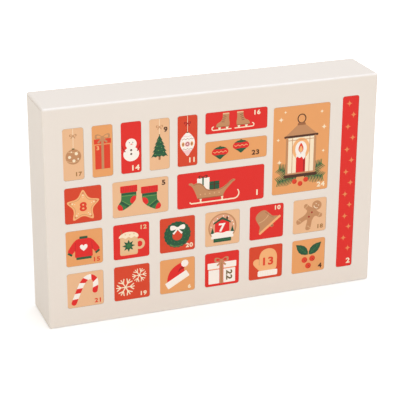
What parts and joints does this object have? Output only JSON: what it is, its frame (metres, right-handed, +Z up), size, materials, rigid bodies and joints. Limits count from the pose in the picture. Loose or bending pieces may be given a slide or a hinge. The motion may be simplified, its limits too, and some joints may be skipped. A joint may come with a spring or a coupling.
{
  "type": "pet advent calendar",
  "caption": "Free-standing flat board carton with numbered creased doors in its front, each opening on its own space in a slotted partition for a pet treat.",
  "frame": {"origin": "middle of the base, on the surface it stands on", "axes": "+X to the right along the front, +Y from the front with the doors to the back, +Z up"},
  "size_m": [0.4634, 0.078, 0.3036],
  "materials": {
    "carton_board": "satin",
    "partition_board": "matte",
    "red_print": "satin",
    "orange_red_print": "satin",
    "tan_print": "satin",
    "orange_tan_print": "satin"
  },
  "bodies": {
    "carton": {"front_panel": "carton_board", "back_panel": "carton_board", "top_panel": "carton_board", "bottom_panel": "carton_board", "left_end_flap": "carton_board", "right_end_flap": "carton_board", "glue_flap": "carton_board", "left_tuck_tab": "carton_board", "right_tuck_tab": "carton_board", "left_lower_dust_flap": "carton_board", "left_upper_dust_flap": "carton_board", "right_lower_dust_flap": "carton_board", "right_upper_dust_flap": "carton_board", "low_shelf": "partition_board", "middle_shelf": "partition_board", "high_shelf": "partition_board", "wide_door_shelf": "partition_board", "low_upright_1": "partition_board", "low_upright_2": "partition_board", "low_upright_3": "partition_board", "low_upright_4": "partition_board", "low_upright_5": "partition_board", "middle_upright_1": "partition_board", "middle_upright_2": "partition_board", "top_upright_1": "partition_board", "top_upright_2": "partition_board", "top_upright_3": "partition_board", "top_upright_4": "partition_board", "top_upright_5": "partition_board", "big_door_upright": "partition_board", "strip_door_upright": "partition_board"},
    "door_01": {"door_01": "red_print"},
    "door_02": {"door_02": "red_print"},
    "door_03": {"door_03": "orange_tan_print"},
    "door_04": {"door_04": "orange_tan_print"},
    "door_05": {"door_05": "tan_print"},
    "door_06": {"door_06": "orange_tan_print"},
    "door_07": {"door_07": "tan_print"},
    "door_08": {"door_08": "orange_red_print"},
    "door_09": {"door_09": "tan_print"},
    "door_10": {"door_10": "red_print"},
    "door_11": {"door_11": "orange_red_print"},
    "door_12": {"door_12": "red_print"},
    "door_13": {"door_13": "orange_red_print"},
    "door_14": {"door_14": "red_print"},
    "door_15": {"door_15": "orange_tan_print"},
    "door_16": {"door_16": "red_print"},
    "door_17": {"door_17": "tan_print"},
    "door_18": {"door_18": "tan_print"},
    "door_19": {"door_19": "orange_red_print"},
    "door_20": {"door_20": "orange_red_print"},
    "door_21": {"door_21": "tan_print"},
    "door_22": {"door_22": "red_print"},
    "door_23": {"door_23": "orange_tan_print"},
    "door_24": {"door_24": "orange_tan_print"}
  },
  "joints": [
    {"name": "door_01_hinge", "type": "hinge", "parent": "carton", "child": "door_01", "pos_m": [-0.05425, -0.039, 0.1455], "axis": [0, 0, -1], "range_deg": [0, 160]},
    {"name": "door_02_hinge", "type": "hinge", "parent": "carton", "child": "door_02", "pos_m": [0.18055, -0.039, 0.0261], "axis": [0, 0, -1], "range_deg": [0, 160]},
    {"name": "door_03_hinge", "type": "hinge", "parent": "carton", "child": "door_03", "pos_m": [-0.16825, -0.039, 0.2052], "axis": [0, 0, -1], "range_deg": [0, 160]},
    {"name": "door_04_hinge", "type": "hinge", "parent": "carton", "child": "door_04", "pos_m": [0.11305, -0.039, 0.0261], "axis": [0, 0, -1], "range_deg": [0, 160]},
    {"name": "door_05_hinge", "type": "hinge", "parent": "carton", "child": "door_05", "pos_m": [-0.14255, -0.039, 0.1455], "axis": [0, 0, -1], "range_deg": [0, 160]},
    {"name": "door_06_hinge", "type": "hinge", "parent": "carton", "child": "door_06", "pos_m": [-0.07865, -0.039, 0.0261], "axis": [0, 0, -1], "range_deg": [0, 160]},
    {"name": "door_07_hinge", "type": "hinge", "parent": "carton", "child": "door_07", "pos_m": [-0.01475, -0.039, 0.0858], "axis": [0, 0, -1], "range_deg": [0, 160]},
    {"name": "door_08_hinge", "type": "hinge", "parent": "carton", "child": "door_08", "pos_m": [-0.20645, -0.039, 0.1455], "axis": [0, 0, -1], "range_deg": [0, 160]},
    {"name": "door_09_hinge", "type": "hinge", "parent": "carton", "child": "door_09", "pos_m": [-0.09185, -0.039, 0.2052], "axis": [0, 0, -1], "range_deg": [0, 160]},
    {"name": "door_10_hinge", "type": "hinge", "parent": "carton", "child": "door_10", "pos_m": [0.04915, -0.039, 0.0858], "axis": [0, 0, -1], "range_deg": [0, 160]},
    {"name": "door_11_hinge", "type": "hinge", "parent": "carton", "child": "door_11", "pos_m": [-0.05365, -0.039, 0.2052], "axis": [0, 0, -1], "range_deg": [0, 160]},
    {"name": "door_12_hinge", "type": "hinge", "parent": "carton", "child": "door_12", "pos_m": [-0.14255, -0.039, 0.0858], "axis": [0, 0, -1], "range_deg": [0, 160]},
    {"name": "door_13_hinge", "type": "hinge", "parent": "carton", "child": "door_13", "pos_m": [0.04915, -0.039, 0.0261], "axis": [0, 0, -1], "range_deg": [0, 160]},
    {"name": "door_14_hinge", "type": "hinge", "parent": "carton", "child": "door_14", "pos_m": [-0.13005, -0.039, 0.2052], "axis": [0, 0, -1], "range_deg": [0, 160]},
    {"name": "door_15_hinge", "type": "hinge", "parent": "carton", "child": "door_15", "pos_m": [-0.20645, -0.039, 0.0858], "axis": [0, 0, -1], "range_deg": [0, 160]},
    {"name": "door_16_hinge", "type": "hinge", "parent": "carton", "child": "door_16", "pos_m": [-0.01545, -0.039, 0.2452], "axis": [0, 0, -1], "range_deg": [0, 160]},
    {"name": "door_17_hinge", "type": "hinge", "parent": "carton", "child": "door_17", "pos_m": [-0.20645, -0.039, 0.2052], "axis": [0, 0, -1], "range_deg": [0, 160]},
    {"name": "door_18_hinge", "type": "hinge", "parent": "carton", "child": "door_18", "pos_m": [0.11305, -0.039, 0.0858], "axis": [0, 0, -1], "range_deg": [0, 160]},
    {"name": "door_19_hinge", "type": "hinge", "parent": "carton", "child": "door_19", "pos_m": [-0.14255, -0.039, 0.0261], "axis": [0, 0, -1], "range_deg": [0, 160]},
    {"name": "door_20_hinge", "type": "hinge", "parent": "carton", "child": "door_20", "pos_m": [-0.07865, -0.039, 0.0858], "axis": [0, 0, -1], "range_deg": [0, 160]},
    {"name": "door_21_hinge", "type": "hinge", "parent": "carton", "child": "door_21", "pos_m": [-0.20645, -0.039, 0.0261], "axis": [0, 0, -1], "range_deg": [0, 160]},
    {"name": "door_22_hinge", "type": "hinge", "parent": "carton", "child": "door_22", "pos_m": [-0.01475, -0.039, 0.0261], "axis": [0, 0, -1], "range_deg": [0, 160]},
    {"name": "door_23_hinge", "type": "hinge", "parent": "carton", "child": "door_23", "pos_m": [-0.01545, -0.039, 0.2052], "axis": [0, 0, -1], "range_deg": [0, 160]},
    {"name": "door_24_hinge", "type": "hinge", "parent": "carton", "child": "door_24", "pos_m": [0.08055, -0.039, 0.1474], "axis": [0, 0, -1], "range_deg": [0, 160]}
  ]
}
